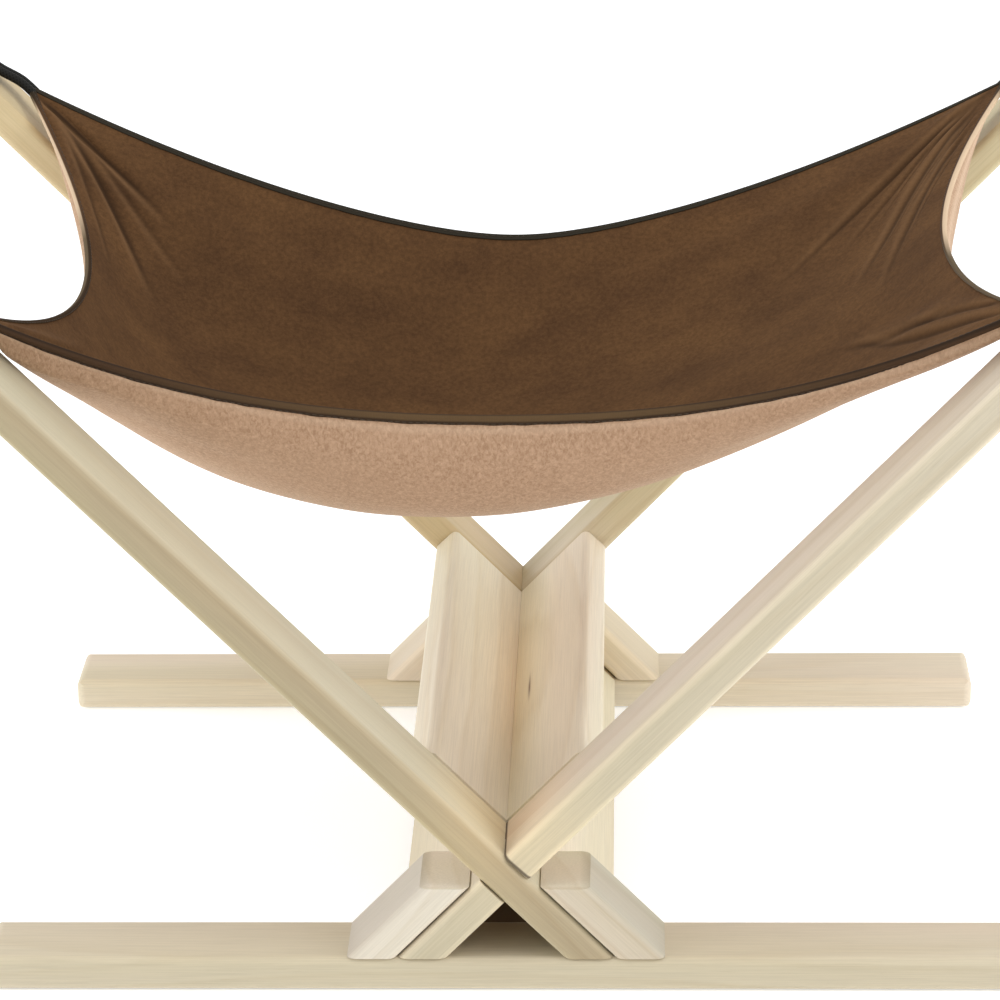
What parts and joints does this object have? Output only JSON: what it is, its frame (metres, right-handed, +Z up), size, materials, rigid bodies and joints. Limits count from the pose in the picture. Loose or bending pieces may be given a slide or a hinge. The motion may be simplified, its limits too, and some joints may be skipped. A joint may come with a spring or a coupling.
{
  "type": "pet hammock",
  "caption": "Free-standing pet hammock: a soft two-layer bed hung by elastic loops from crossed wooden arms on flat base boards, tied together by a crossed spine.",
  "frame": {"origin": "on the floor under the middle of the frame", "axes": "+X to the right seen from the front, +Y to the rear, +Z up"},
  "size_m": [0.6688, 0.4188, 0.4074],
  "materials": {
    "pine": "planed and sanded, clear matt",
    "beech": "plain turned",
    "screw_steel": "zinc plated",
    "plush": "short pile plush",
    "suede": "brushed suede cloth",
    "binding": "woven tape",
    "elastic": "braided cover"
  },
  "bodies": {
    "frame": {"base_front": "pine", "base_rear": "pine", "block_front_left": "pine", "block_front_right": "pine", "block_rear_left": "pine", "block_rear_right": "pine", "arm_front_left": "pine", "arm_front_right": "pine", "arm_rear_left": "pine", "arm_rear_right": "pine", "spine_full_board": "pine", "spine_upper_board": "pine", "spine_lower_board": "pine", "spine_dowels": "beech", "block_screws": "screw_steel", "leg_screws": "screw_steel"},
    "bed": {"bed_shell": "plush", "bed_lining": "suede", "edge_binding": "binding", "loop_front_left": "elastic", "loop_front_right": "elastic", "loop_rear_left": "elastic", "loop_rear_right": "elastic"}
  },
  "joints": [
    {"name": "bed_lift", "type": "slide", "parent": "frame", "child": "bed", "axis": [0, 0, 1], "range_m": [0, 0.25], "deforming": ["loop_front_left", "loop_front_right", "loop_rear_left", "loop_rear_right"]}
  ]
}
